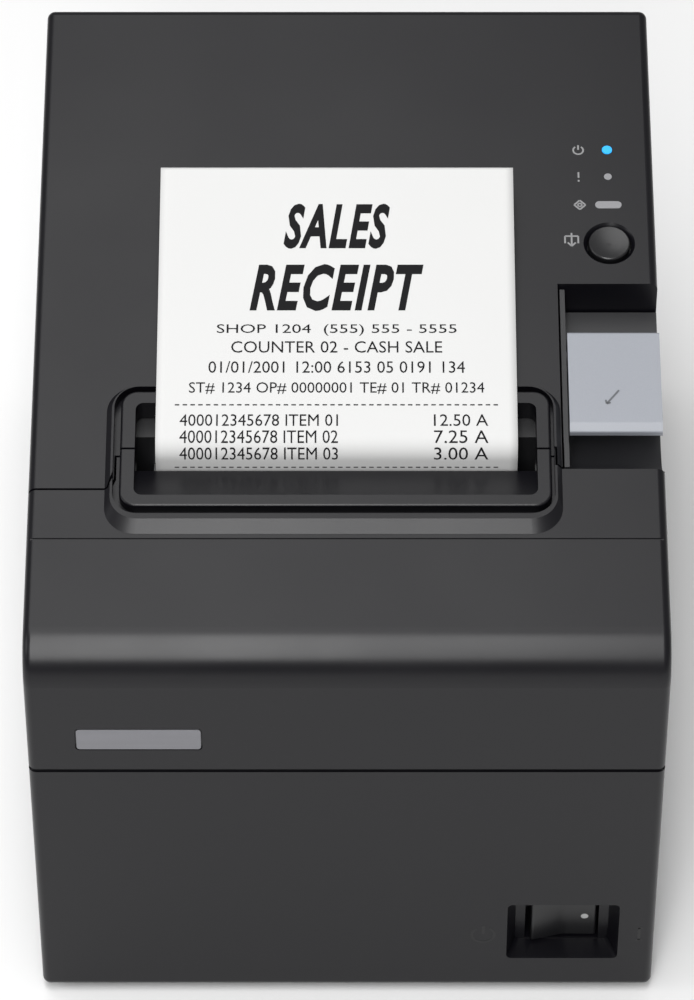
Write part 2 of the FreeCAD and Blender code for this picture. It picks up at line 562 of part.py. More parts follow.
def chassis_frame():
    side = [(-66, CHASSIS_Z, 0), (-22, CHASSIS_Z, 0), (-22, 96, 2), (-30, 104, 2), (-50, 104, 1),
            (-50, 96.9, 0), (-94, 96.9, 0), (-94, 88, 2), (-66, 70, 4)]
    plates = [prism_x(side, *PLATE_L), prism_x(side, *PLATE_R)]
    slot = box(-FAR, FAR, PLATEN_Y - BUSH_R - 0.35, PLATEN_Y + BUSH_R + 0.35, PLATEN_Z, 120)
    slot = slot.fuse(rod_x(-FAR, FAR, PLATEN_Y, PLATEN_Z, BUSH_R + 0.35))
    holes = [rod_x(-FAR, FAR, LATCH_Y, LATCH_Z, 2.06), rod_x(-FAR, FAR, HEAD_PIVOT_Y, HEAD_PIVOT_Z, 1.56),
             rod_x(20, FAR, PINION_AT[0], PINION_AT[1], 3.3)]
    floor = box(PLATE_L[0], PLATE_R[1], -62, -24, CHASSIS_Z, CHASSIS_Z + 1.2)
    floor = floor.cut([box(-30, 20, -56, -30, 0, 60)])
    brace = box(PLATE_L[0], PLATE_R[1], -62, -60.8, 84, 96.9)
    post = rod_x(PLATE_R[0], GEAR_X1 + 0.4, IDLER_AT[0], IDLER_AT[1], 2.0)
    frame = fuse([p.cut([slot] + holes) for p in plates] + [floor, brace])
    return frame.fuse(post)


def main_board():
    x0, x1, y0, y1 = BOARD
    board = box(x0, x1, y0, y1, BOARD_Z, BOARD_Z + 1.6)
    clear = [rod_z(x, y, 0, 30, BOSS_R + 0.6) for x, y in (CORNER_SCREWS[3], BRACKET_HOLES[3])]
    return board.cut([rod_z(x, y, 0, 30, 1.6) for x, y in BOARD_POSTS] + clear)


def board_chips():
    z = BOARD_Z + 1.6
    parts = [box(8, 24, 30, 46, z, z + 2), box(32, 44, 34, 46, z, z + 1.6), box(12, 30, 56, 64, z, z + 1.4)]
    for k in range(3):
        parts.append(rod_z(54, 34 + 12 * k, z, z + 12, 4.0))
    parts.append(box(-9.5, 9.5, 10.5, 14.5, BOARD_Z - 3.0, BOARD_Z))
    return parts


def power_supply():
    case = box(-65, -17, -14, 70, 8, 36)
    case = case.cut(box(-64, -18, -13, 69, 9, 35))
    vents = [box(-62 + 7 * k, -59 + 7 * k, -6, 40, 34, 37) for k in range(6)]
    core = box(-58, -40, 0, 22, 9, 30)
    stand = box(-60, -22, -10, 66, FOOT_H + WALL, 8)
    return fuse([case.cut(vents), stand]).fuse(core)


def hollow_port(frame, depth, wall, back):
    """Socket block in the rear wall, open to the back."""
    x0, x1, z0, z1 = frame
    block = box(x0, x1, REAR_Y - depth, REAR_Y - 0.1, z0, z1)
    cavity = box(x0 + wall, x1 - wall, REAR_Y - depth + back, REAR_Y + 1, z0 + wall, z1 - wall)
    return block.cut(cavity)


def ac_inlet():
    x = (INLET[0] + INLET[1]) / 2
    z = (INLET[2] + INLET[3]) / 2
    body = hollow_port(INLET, 20, 2.6, 5)
    pins = [box(x + u - 1, x + u + 1, REAR_Y - 15.5, REAR_Y - 7, z + v - 2.2, z + v + 2.2)
            for u, v in ((-7, -2), (0, 3.2), (7, -2))]
    return fuse([body] + pins)


def usb_port():
    body = hollow_port(USB, 16, 1.9, 6)
    return body.fuse(box(-8.6, -2.9, REAR_Y - 11, REAR_Y - 7.5, 19.2, 22.4))


def serial_port():
    x0, x1, z0, z1 = SERIAL
    shell = box(x0, x1, REAR_Y - 12, REAR_Y - 1.2, z0, z1)
    dee = [(11.3, 17.2, 1.0), (29.7, 17.2, 1.0), (30.6, 25.4, 1.0), (10.4, 25.4, 1.0)]
    lip = [(x + (0.7 if x > 20 else -0.7), z + (0.7 if z > 21 else -0.7), r + 0.6) for x, z, r in dee]
    hood = prism_y(lip, REAR_Y - 1.2, REAR_Y - 0.1)
    socket = prism_y(dee, REAR_Y - 7, REAR_Y + 1)
    nuts = [rod_y(x, REAR_Y - 1.2, REAR_Y - 0.1, 21.25, 1.9) for x in (7.6, 33.4)]
    return fuse([shell, hood] + nuts).cut(socket)


def drawer_port():
    return hollow_port(DRAWER, 15, 1.8, 4)


def interface_plate():
    plate = box(PORT_X0 + 0.1, PORT_X1 - 0.1, REAR_Y - 1.0, REAR_Y - 0.2, PORT_Z0 + 0.1, PORT_Z1 - 0.1)
    holes = [box(x0 - 0.2, x1 + 0.2, REAR_Y - 2, REAR_Y + 1, z0 - 0.2, z1 + 0.2)
             for x0, x1, z0, z1 in (INLET, USB, SERIAL, DRAWER)]
    holes += [rod_y(x, REAR_Y - 3, REAR_Y + 1, 37.5, 1.6) for x in (-50.5, 60.5)]
    return plate.cut(holes)


# ---- paper feed ----
def mesh_distance(module, teeth_a, teeth_b):
    return module * (teeth_a + teeth_b) / 2 + MESH_SLACK


PINION_ANGLE = 240.0
IDLER_AT = (PLATEN_Y, PLATEN_Z - mesh_distance(FEED_MODULE, PLATEN_TEETH, IDLER_TEETH))
PINION_REACH = mesh_distance(FEED_MODULE, IDLER_TEETH, PINION_TEETH)
PINION_AT = (IDLER_AT[0] + PINION_REACH * math.cos(math.radians(PINION_ANGLE)),
             IDLER_AT[1] + PINION_REACH * math.sin(math.radians(PINION_ANGLE)))


def feed_motor():
    y, z = PINION_AT
    can = rod_x(24.0, 39.4, y, z, 10.0)
    can = can.makeFillet(0.8, [e for e in can.Edges if e.BoundBox.XMax < 24.1])
    flange = box(39.4, 40.4, y - 9.4, y + 9.4, z - 5, z + 5)
    collar = rod_x(40.4, 41.4, y, z, 3.0)
    plug = box(28, 36, y + 8.5, y + 12, z - 4, z + 4)
    return fuse([can, flange, collar, plug]).cut(rod_x(38, 45, y, z, SHAFT_BORE_R))


def motor_pinion():
    y, z = PINION_AT
    phase = PINION_ANGLE - 180 + 180.0 / PINION_TEETH
    wheel = gear_on_x(FEED_MODULE, PINION_TEETH, 0.98, phase, y, z)
    return wheel.fuse(rod_x(38.5, GEAR_X1 + 0.3, y, z, 1.0))


def idler_gear():
    y, z = IDLER_AT
    wheel = gear_on_x(FEED_MODULE, IDLER_TEETH, 2.05, 90.0, y, z)
    ring = rod_x(GEAR_X0 + 2.2, 60, y, z, 6.4).cut(rod_x(40, 61, y, z, 3.6))
    return wheel.cut(ring)


def platen_gear():
    return gear_on_x(FEED_MODULE, PLATEN_TEETH, SHAFT_R, 270.0 + 180.0 / PLATEN_TEETH, PLATEN_Y, PLATEN_Z)


def platen_rubber():
    return rod_x(-43.4, 38.4, PLATEN_Y, PLATEN_Z, PLATEN_R).cut(rod_x(-50, 50, PLATEN_Y, PLATEN_Z, SHAFT_R))


def platen_shaft():
    return rod_x(-50.4, 47.5, PLATEN_Y, PLATEN_Z, SHAFT_R)


def platen_bushings():
    left = rod_x(ARM_L[0], -44.7, PLATEN_Y, PLATEN_Z, BUSH_R)
    right = rod_x(39.8, ARM_R[1], PLATEN_Y, PLATEN_Z, BUSH_R)
    bore = rod_x(-FAR, FAR, PLATEN_Y, PLATEN_Z, SHAFT_R + 0.05)
    return [left.cut(bore), right.cut(bore)]


def platen_holder():
    """Cross bar under the roll cover with the two arms that carry the platen."""
    arm = [(-45.4, 91, 3), (-33.5, 91, 3), (-32, 108, 0), (-32, 121.0, 0), (-38, 119.9, 0), (-38, 112, 2),
           (-45.4, 106, 3)]
    bar = [(-38, 106, 0), (-32, 106, 0), (-32, 121.0, 0), (-38, 119.9, 0)]
    whole = fuse([prism_x(arm, *ARM_L), prism_x(arm, *ARM_R), prism_x(bar, ARM_L[0], ARM_R[1])])
    return whole.cut(rod_x(-FAR, FAR, PLATEN_Y, PLATEN_Z, BUSH_R))


def fixed_blade():
    return box(-43, 38, PAPER_Y + 0.5, -38.0, 110.5, 111.3)


def print_head():
    face = [(-46.5, 91, 0.5), (-46.5, 104, 0.5), (-48.6, 106, 0), (-48.6, 88, 0)]
    return prism_x(list(reversed(face)), -42.3, 37.3)


def heat_sink():
    block = box(-42.3, 37.3, -54, -48.6, 84.5, 105)
    grooves = [box(-40 + 6.4 * k, -37 + 6.4 * k, -55, -51.2, 88.5, 106) for k in range(12)]
    lug = rod_x(-42.3, 37.3, HEAD_PIVOT_Y, HEAD_PIVOT_Z, 2.6)
    pin = rod_x(PLATE_L[0], PLATE_R[1], HEAD_PIVOT_Y, HEAD_PIVOT_Z, 1.5)
    return fuse([block.cut(grooves), lug, pin])


def head_springs():
    return [coil(x, -60.8, -54.9, 94.0, 2.4, 0.35, 5) for x in (-20.0, 15.0)]


def web_end():
    """Where the web leaves the roll: tangent from the turning point to the roll."""
    dy, dz = BIN_Y - PAPER_Y, ROLL_Z - WEB_TURN_Z
    reach = math.hypot(dy, dz)
    radius = ROLL_R + 0.4
    slope = math.atan2(dz, dy) - math.asin(radius / reach)
    run = math.sqrt(reach ** 2 - radius ** 2)
    return PAPER_Y + run * math.cos(slope), WEB_TURN_Z + run * math.sin(slope), slope


def paper_web():
    y, z, slope = web_end()
    half = PAPER_T / 2
    ny, nz = -math.sin(slope) * half, math.cos(slope) * half
    turn = math.tan((math.pi / 2 + slope) / 2) * half
    strip = [(PAPER_Y - half, 97.0, 0), (PAPER_Y - half, WEB_TURN_Z - turn, 0), (y - ny, z - nz, 0),
             (y + ny, z + nz, 0), (PAPER_Y + half, WEB_TURN_Z + turn, 0), (PAPER_Y + half, 97.0, 0)]
    return prism_x(strip, PAPER_X0, PAPER_X1)


def receipt_paper():
    """Free end of the strip: up past the print line, over a bend, then back above the cover."""
    rise = math.radians(PAPER_RISE)
    half = PAPER_T / 2
    centre_y = PAPER_Y + PAPER_BEND_R
    v = FreeCAD.Vector

    def at(radius, angle):
        return v(PAPER_X0, centre_y + radius * math.cos(angle), PAPER_BEND_Z + radius * math.sin(angle))

    inner, outer = PAPER_BEND_R - half, PAPER_BEND_R + half
    last = math.pi / 2 + rise
    mid = (math.pi + last) / 2
    along = v(0, math.cos(rise), math.sin(rise)) * PAPER_FREE
    low_out, low_in = v(PAPER_X0, PAPER_Y - half, 97.4), v(PAPER_X0, PAPER_Y + half, 97.4)
    edges = [Part.LineSegment(low_out, at(outer, math.pi)).toShape(),
             Part.Arc(at(outer, math.pi), at(outer, mid), at(outer, last)).toShape(),
             Part.LineSegment(at(outer, last), at(outer, last) + along).toShape(),
             Part.LineSegment(at(outer, last) + along, at(inner, last) + along).toShape(),
             Part.LineSegment(at(inner, last) + along, at(inner, last)).toShape(),
             Part.Arc(at(inner, last), at(inner, mid), at(inner, math.pi)).toShape(),
             Part.LineSegment(at(inner, math.pi), low_in).toShape(),
             Part.LineSegment(low_in, low_out).toShape()]
    return Part.Face(Part.Wire(edges)).extrude(v(PAPER_X1 - PAPER_X0, 0, 0))


def paper_roll():
    return rod_x(PAPER_X0, PAPER_X1, BIN_Y, ROLL_Z, ROLL_R).cut(rod_x(-60, 60, BIN_Y, ROLL_Z, CORE_R))


def roll_core():
    return rod_x(PAPER_X0, PAPER_X1, BIN_Y, ROLL_Z, CORE_R).cut(rod_x(-60, 60, BIN_Y, ROLL_Z, CORE_R - 2.5))


def flat_cable():
    t = 0.3
    route = [(-54.6, 83.0, 0), (-54.6, 80.3, 0), (-63.2, 80.3, 0), (-63.2, 8.6, 0), (10.4, 8.6, 0),
             (10.4, 8.6 + t, 0), (-63.2 + t, 8.6 + t, 0), (-63.2 + t, 80.0, 0),
             (-54.3, 80.0, 0), (-54.3, 83.0, 0)]
    return prism_x(route, -9, 9).cut(box(-10, 10, -62.2, -60, 84, 97))


# ---- latch ----
def latch_hooks():
    hook = [(-29.6, 87, 1), (-26, 84.6, 2), (-22.2, 88, 2), (-26.5, 98, 2),
            (-30.5, 102.4, 1.5), (-36.2, 102.4, 0.6), (-36.2, 99.6, 0.4), (-32.2, 96.5, 1)]
    bore = rod_x(-FAR, FAR, LATCH_Y, LATCH_Z, 2.0)
    return [prism_x(hook, x0, x0 + 1.4).cut(bore) for x0 in (-50.2, 46.8)]


def latch_shaft():
    return rod_x(-50.4, 48.3, LATCH_Y, LATCH_Z, 2.0)


# ---- cutter ----
CUT_REACH = mesh_distance(CUT_MODULE, CRANK_TEETH, CUT_PINION_TEETH)
CUT_MOTOR_X = CRANK_X + CUT_REACH


def cutter_frame():
    deck = box(-48, 43, -94, -57, 97.0, 98.5)
    rails = [box(x0, x1, -94, -50.2, 98.5, BLADE_Z - 0.1) for x0, x1 in ((-45.1, -43.4), (38.7, 40.3))]
    post = rod_z(CRANK_X, CRANK_Y, 98.5, 102.3, 2.0)
    hole = rod_z(CUT_MOTOR_X, CRANK_Y, 96, 100, 3.2)
    return fuse([deck.cut(hole), post] + rails)


def cutter_motor():
    can = rod_z(CUT_MOTOR_X, CRANK_Y, 68, 96.9, 10.0)
    can = can.makeFillet(0.8, [e for e in can.Edges if e.BoundBox.ZMax < 68.1])
    collar = rod_z(CUT_MOTOR_X, CRANK_Y, 96.9, 98.3, 3.0)
    return fuse([can, collar]).cut(rod_z(CUT_MOTOR_X, CRANK_Y, 95, 100, SHAFT_BORE_R))


def cutter_pinion():
    wheel = gear(CUT_MODULE, CUT_PINION_TEETH, 3.0, 0.9, 180.0 + 180.0 / CUT_PINION_TEETH)
    wheel.translate(FreeCAD.Vector(CUT_MOTOR_X, CRANK_Y, 100.0))
    return wheel.fuse(rod_z(CUT_MOTOR_X, CRANK_Y, 95.4, 108.0, CUT_SHAFT_R))


def cutter_knob():
    knob = rod_z(CUT_MOTOR_X, CRANK_Y, 103.9, 107.9, KNOB_R)
    notches = []
    for k in range(KNOB_NOTCHES):
        angle = 2 * math.pi * k / KNOB_NOTCHES
        x = CUT_MOTOR_X + (KNOB_R + 0.3) * math.cos(angle)
        y = CRANK_Y + (KNOB_R + 0.3) * math.sin(angle)
        notches.append(rod_z(x, y, 103, 109, 0.7))
    return knob.cut(notches + [rod_z(CUT_MOTOR_X, CRANK_Y, 103, 109, CUT_SHAFT_R)])


def crank_pin_at():
    start = math.radians(-CRANK_SWEEP / 2)
    return CRANK_X + CRANK_ARM * math.cos(start), CRANK_Y + CRANK_ARM * math.sin(start)


def crank_gear():
    wheel = gear(CUT_MODULE, CRANK_TEETH, 3.0, 0, 0.0)
    wheel.translate(FreeCAD.Vector(CRANK_X, CRANK_Y, 100.0))
    pin_x, pin_y = crank_pin_at()
    pin = rod_z(pin_x, pin_y, 103.0, BLADE_Z + 0.8, 1.2)
    return wheel.cut(rod_z(CRANK_X, CRANK_Y, 99, 102.4, 2.05)).fuse(pin)


def moving_blade():
    """Plate with a bevelled rear edge and a cross slot that the crank pin drives."""
    y_edge = PAPER_Y - 5.3
    blade = prism_x([(-90, BLADE_Z, 0), (y_edge - 1.2, BLADE_Z, 0), (y_edge, BLADE_Z + 0.7, 0),
                     (y_edge, BLADE_Z + 1, 0), (-90, BLADE_Z + 1, 0)], -44.8, 40.0)
    pin_x, pin_y = crank_pin_at()
    slot = pad(pin_x - 2.0, CRANK_X + CRANK_ARM + 2.0, pin_y - 1.5, pin_y + 1.5, 100, 120, 1.4)
    windows = [pad(x, x + 22, -84, -66, 100, 120, 2) for x in (-38, 14)]
    return blade.cut([slot] + windows)


# ---- cover furniture ----
def blank_badge():
    plate = pad(-59.1, -31.9, 85.2, 91.6, 0, 1.1, 0.8)
    plate.rotate(FreeCAD.Vector(0, 0, 0), FreeCAD.Vector(1, 0, 0), 90)
    plate.translate(FreeCAD.Vector(0, FRONT_Y + 0.6 - 0.05, 0))
    return plate.common(box(-FAR, FAR, FRONT_Y, 0, 0, 200))


def panel_board():
    board = box(50, 67, 104, 143, -9.2, -7.8)
    switch = box(BUTTON_X - 3, BUTTON_X + 3, BUTTON_S - 3, BUTTON_S + 3, -9.0, -7.75)
    posts = [rod_z(x, s, -7.8, -WALL, 1.4) for x, s in ((52, 106), (52, 141))]
    return on_deck(fuse([board.fuse(switch)] + posts))


def round_lamp(s, r):
    return on_deck(rod_z(59.6, s, -7.8, 0.1, r))


def paper_lamp():
    return on_deck(pad(56.5, 62.5, 120.8, 122.8, -7.8, 0.1, 0.95))


def feed_button():
    cap = rod_z(BUTTON_X, BUTTON_S, -4.0, 0.35, BUTTON_R)
    cap = cap.makeFillet(0.5, [e for e in cap.Edges if e.BoundBox.ZMin > 0.3])
    dish = Part.makeSphere(26.0, FreeCAD.Vector(BUTTON_X, BUTTON_S, 25.95))
    flange = rod_z(BUTTON_X, BUTTON_S, -4.0, -3.1, BUTTON_R + 1.2)
    stem = rod_z(BUTTON_X, BUTTON_S, -6.4, -4.0, 1.8)
    return on_deck(fuse([cap.cut(dish), flange, stem]))


def main():
    os.makedirs("parts", exist_ok=True)
    nodes = {
        "bottom_case": bottom_case, "middle_case": middle_case, "rubber_feet": rubber_feet,
        "case_screws": case_screws, "switch_housing": switch_housing, "power_rocker": power_rocker,
        "paper_bin": paper_bin, "chassis_frame": chassis_frame, "main_board": main_board,
        "board_chips": board_chips, "power_supply": power_supply, "ac_inlet": ac_inlet,
        "usb_port": usb_port, "serial_port": serial_port, "drawer_port": drawer_port,
        "interface_plate": interface_plate, "flat_cable": flat_cable, "lever_deck": lever_deck,
        "lever_pin": lever_pin, "cover_lever": cover_lever, "hinge_pins": hinge_pins,
        "latch_hooks": latch_hooks, "latch_shaft": latch_shaft, "feed_motor": feed_motor,
        "motor_pinion": motor_pinion, "idler_gear": idler_gear, "platen_gear": platen_gear,
        "platen_rubber": platen_rubber, "platen_shaft": platen_shaft, "platen_bushings": platen_bushings,
        "platen_holder": platen_holder, "print_head": print_head, "heat_sink": heat_sink,
        "head_springs": head_springs, "cutter_frame": cutter_frame, "cutter_motor": cutter_motor,
        "cutter_pinion": cutter_pinion, "cutter_knob": cutter_knob, "crank_gear": crank_gear,
        "moving_blade": moving_blade, "fixed_blade": fixed_blade, "front_cover": front_cover,
        "blank_badge": blank_badge, "roll_cover": roll_cover, "panel_board": panel_board,
        "power_lamp": lambda: round_lamp(137.5, 1.15), "error_lamp": lambda: round_lamp(129.8, 0.9),
        "paper_lamp": paper_lamp, "feed_button": feed_button, "paper_roll": paper_roll,
        "roll_core": roll_core, "paper_web": paper_web, "receipt_paper": receipt_paper,
    }
    for name, build in nodes.items():
        made = build()
        save(name, Part.makeCompound(made) if isinstance(made, list) else made)


main()
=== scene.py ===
import bpy
import bmesh
import json
import math
from mathutils import Matrix, Vector


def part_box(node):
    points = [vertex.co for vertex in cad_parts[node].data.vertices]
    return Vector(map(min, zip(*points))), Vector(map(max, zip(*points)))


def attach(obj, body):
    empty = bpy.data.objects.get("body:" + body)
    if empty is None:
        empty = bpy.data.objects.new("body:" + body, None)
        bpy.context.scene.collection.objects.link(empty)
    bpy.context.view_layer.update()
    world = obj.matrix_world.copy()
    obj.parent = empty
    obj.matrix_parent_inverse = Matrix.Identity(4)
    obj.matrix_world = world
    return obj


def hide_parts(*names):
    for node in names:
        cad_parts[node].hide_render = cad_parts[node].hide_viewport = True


# Looks of the receipt printer: everything is in metres, in the row frame.

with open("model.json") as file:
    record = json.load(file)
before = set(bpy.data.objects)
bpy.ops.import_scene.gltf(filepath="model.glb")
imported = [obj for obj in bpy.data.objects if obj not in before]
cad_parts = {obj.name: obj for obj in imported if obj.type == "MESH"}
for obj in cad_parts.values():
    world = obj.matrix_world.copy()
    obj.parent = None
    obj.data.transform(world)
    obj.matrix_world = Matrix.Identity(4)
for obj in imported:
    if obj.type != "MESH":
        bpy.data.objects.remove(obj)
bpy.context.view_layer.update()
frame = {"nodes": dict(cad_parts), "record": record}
nodes = frame["nodes"]
MM = 0.001

# ---- places read from the frame ----
FRONT_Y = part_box("bottom_case")[0].y
CREST_Z = 114 * MM
DECK_ANGLE = math.atan2(32, 175)          # rise and run of the sloping deck
paper_low, paper_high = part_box("receipt_paper")
PAPER_T = 0.3 * MM
PAPER_BEND_Z = 120.8 * MM
PAPER_BEND_R = 5.0 * MM
PAPER_RISE = math.radians(14.66)
PAPER_FREE = 69.4 * MM


def deck(x, s, h=0.0):
    """Point on the sloping deck, from millimetres across, up the slope and above it."""
    y = FRONT_Y + (s * math.cos(DECK_ANGLE) - h * math.sin(DECK_ANGLE)) * MM
    z = CREST_Z + (s * math.sin(DECK_ANGLE) + h * math.cos(DECK_ANGLE)) * MM
    return Vector((x * MM, y, z))


def front(x, z, out=0.0):
    """Point on the front face, from millimetres across and up, out millimetres proud of it."""
    return Vector((x * MM, FRONT_Y - out * MM, z * MM))


# ---- camera and studio ----
def add_camera():
    data = bpy.data.cameras.new("camera")
    data.lens = 184.7
    data.sensor_width = 36.0
    data.clip_end = 20.0
    cam = bpy.data.objects.new("camera", data)
    cam.location = (0, -0.83515, 0.93389)
    cam.rotation_euler = (math.radians(90 - 46.3), 0, 0)
    bpy.context.scene.collection.objects.link(cam)
    bpy.context.scene.camera = cam


def add_light(name, place, aim, width, height, power):
    data = bpy.data.lights.new(name, "AREA")
    data.shape = "RECTANGLE"
    data.size = width
    data.size_y = height
    data.energy = power
    lamp = bpy.data.objects.new(name, data)
    lamp.location = place
    lamp.rotation_euler = (Vector(aim) - Vector(place)).to_track_quat("-Z", "Y").to_euler()
    bpy.context.scene.collection.objects.link(lamp)


def add_stage():
    world = bpy.data.worlds.new("studio")
    bpy.context.scene.world = world
    world.use_nodes = True
    back = world.node_tree.nodes["Background"]
    back.inputs["Color"].default_value = (1.0, 1.0, 1.0, 1)
    back.inputs["Strength"].default_value = 0.34
    centre = (0, 0, 0.1)
    add_light("key", (-0.10, -0.82, 1.366), (-0.05, -0.095, 0.11), 0.38, 1.7, 22)
    add_light("overhead", (-0.25, 0.35, 1.45), (-0.1, 0.05, 0.0), 1.0, 0.8, 6.5)
    add_light("left_fill", (-1.3, -0.3, 0.8), centre, 0.7, 0.7, 3.5)
    floor = bpy.data.meshes.new("floor")
    floor.from_pydata([(-6, -6, 0), (6, -6, 0), (6, 8, 0), (-6, 8, 0)], [], [(0, 1, 2, 3)])
    obj = bpy.data.objects.new("floor", floor)
    bpy.context.scene.collection.objects.link(obj)
    floor.materials.append(plain("floor_white", (0.84, 0.84, 0.84), 0.7))
    bpy.context.scene.view_settings.view_transform = "Standard"


# ---- materials ----
def plain(name, colour, rough):
    mat = bpy.data.materials.new(name)
    mat.use_nodes = True
    shader = mat.node_tree.nodes["Principled BSDF"]
    shader.inputs["Base Color"].default_value = (*colour, 1)
    shader.inputs["Roughness"].default_value = rough
    return mat


def grained(name, colour, rough, grain_mm=0.35, bump=0.25, depth_mm=0.02, vary=0.12, rough_vary=0.06,
            metallic=0.0, stretch=(1, 1, 1), specular=0.5):
    """Surface with fine grain in its bump, and slow variation in its colour and roughness."""
    mat = bpy.data.materials.new(name)
    mat.use_nodes = True
    tree = mat.node_tree
    new, link = tree.nodes.new, tree.links.new
    shader = tree.nodes["Principled BSDF"]
    shader.inputs["Metallic"].default_value = metallic
    shader.inputs["Specular IOR Level"].default_value = specular
    place = new("ShaderNodeTexCoord")
    scale = new("ShaderNodeMapping")
    scale.inputs["Scale"].default_value = stretch
    link(place.outputs["Object"], scale.inputs["Vector"])
    fine = new("ShaderNodeTexNoise")
    fine.inputs["Scale"].default_value = 1.0 / (grain_mm * MM)
    fine.inputs["Detail"].default_value = 3.0
    slow = new("ShaderNodeTexNoise")
    slow.inputs["Scale"].default_value = 28.0
    slow.inputs["Detail"].default_value = 4.0
    for noise in (fine, slow):
        link(scale.outputs["Vector"], noise.inputs["Vector"])
    ramp = new("ShaderNodeValToRGB")
    dark = [c * (1 - vary) for c in colour]
    light = [min(c * (1 + vary), 1.0) for c in colour]
    ramp.color_ramp.elements[0].position = 0.3
    ramp.color_ramp.elements[0].color = (*dark, 1)
    ramp.color_ramp.elements[1].position = 0.7
    ramp.color_ramp.elements[1].color = (*light, 1)
    mix = new("ShaderNodeMath")
    mix.operation = "MULTIPLY_ADD"
    mix.inputs[1].default_value = 0.5
    link(fine.outputs["Fac"], mix.inputs[0])
    half = new("ShaderNodeMath")
    half.operation = "MULTIPLY"
    half.inputs[1].default_value = 0.5
    link(slow.outputs["Fac"], half.inputs[0])
    link(half.outputs[0], mix.inputs[2])
    link(mix.outputs[0], ramp.inputs["Fac"])
    link(ramp.outputs["Color"], shader.inputs["Base Color"])
    span = new("ShaderNodeMapRange")
    span.inputs["To Min"].default_value = rough - rough_vary
    span.inputs["To Max"].default_value = rough + rough_vary
    link(slow.outputs["Fac"], span.inputs["Value"])
    link(span.outputs["Result"], shader.inputs["Roughness"])
    dent = new("ShaderNodeBump")
    dent.inputs["Strength"].default_value = bump
    dent.inputs["Distance"].default_value = depth_mm * MM
    link(fine.outputs["Fac"], dent.inputs["Height"])
    link(dent.outputs["Normal"], shader.inputs["Normal"])
    return mat


def glowing(name, colour, strength):
    mat = plain(name, colour, 0.25)
    shader = mat.node_tree.nodes["Principled BSDF"]
    shader.inputs["Emission Color"].default_value = (*colour, 1)
    shader.inputs["Emission Strength"].default_value = strength
    return mat


def wound_paper():
    """Roll of paper: fine rings on its ends, faint bands round its face."""
    mat = grained("wound_paper", (0.80, 0.80, 0.78), 0.7, 0.2, 0.1, 0.02, 0.03)
    tree = mat.node_tree
    rings = tree.nodes.new("ShaderNodeTexWave")
    rings.wave_type = "RINGS"
    rings.rings_direction = "X"
    rings.inputs["Scale"].default_value = 700.0
    low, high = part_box("paper_roll")
    centre = (low + high) / 2
    place = tree.nodes.new("ShaderNodeTexCoord")
    shift = tree.nodes.new("ShaderNodeMapping")
    shift.inputs["Location"].default_value = (0, -centre.y, -centre.z)
    tree.links.new(place.outputs["Object"], shift.inputs["Vector"])
    tree.links.new(shift.outputs["Vector"], rings.inputs["Vector"])
    dent = tree.nodes.new("ShaderNodeBump")
    dent.inputs["Strength"].default_value = 0.35
    dent.inputs["Distance"].default_value = 0.05 * MM
    tree.links.new(rings.outputs["Fac"], dent.inputs["Height"])
    tree.links.new(dent.outputs["Normal"], tree.nodes["Principled BSDF"].inputs["Normal"])
    return mat


MATERIALS = {
    "case_plastic": grained("case_plastic", (0.0034, 0.0032, 0.0048), 0.32, 0.30, 0.22, 0.015, 0.10,
                            specular=0.32),
    "inner_plastic": grained("inner_plastic", (0.008, 0.008, 0.009), 0.5, 0.4, 0.15),
    "rubber": grained("rubber", (0.018, 0.018, 0.018), 0.8, 0.5, 0.4, 0.03),
    "steel": grained("steel", (0.50, 0.51, 0.52), 0.34, 0.12, 0.2, 0.01, 0.1, 0.08, 1.0, (1, 14, 1)),
    "motor_can": grained("motor_can", (0.40, 0.40, 0.42), 0.3, 0.15, 0.15, 0.01, 0.08, 0.06, 1.0,
                         (12, 1, 1)),
    "aluminium": grained("aluminium", (0.62, 0.63, 0.65), 0.4, 0.15, 0.2, 0.01, 0.08, 0.06, 1.0, (1, 1, 9)),
    "supply_case": grained("supply_case", (0.45, 0.46, 0.47), 0.38, 0.3, 0.2, 0.01, 0.08, 0.06, 0.9),
    "circuit_board": grained("circuit_board", (0.015, 0.11, 0.045), 0.35, 1.6, 0.25, 0.03, 0.35),
    "chip": grained("chip", (0.006, 0.006, 0.007), 0.3, 0.3, 0.12),
    "port_metal": grained("port_metal", (0.60, 0.60, 0.60), 0.28, 0.2, 0.15, 0.01, 0.06, 0.05, 1.0),
    "ceramic": grained("ceramic", (0.23, 0.20, 0.16), 0.22, 0.5, 0.1),
    "cable_film": grained("cable_film", (0.75, 0.75, 0.72), 0.35, 0.6, 0.1, 0.01, 0.05),
    "lever_grey": grained("lever_grey", (0.27, 0.283, 0.315), 0.36, 0.28, 0.22, 0.015, 0.05),
    "button_black": grained("button_black", (0.009, 0.009, 0.010), 0.30, 0.3, 0.08, 0.01, 0.08, 0.04),
    "badge_silver": grained("badge_silver", (0.20, 0.20, 0.215), 0.32, 0.1, 0.2, 0.01, 0.06, 0.05, 0.6,
                            (1, 1, 12)),
    "lamp_blue": glowing("lamp_blue", (0.005, 0.26, 0.62), 0.85),
    "lamp_clear": grained("lamp_clear", (0.22, 0.22, 0.23), 0.22, 0.4, 0.08, 0.01, 0.06),
    "paper": grained("thermal_paper", (0.62, 0.62, 0.615), 0.8, 0.16, 0.18, 0.01, 0.015, 0.05,
                     specular=0.2),
    "card": grained("card", (0.42, 0.30, 0.20), 0.85, 0.5, 0.4, 0.04, 0.12),
}


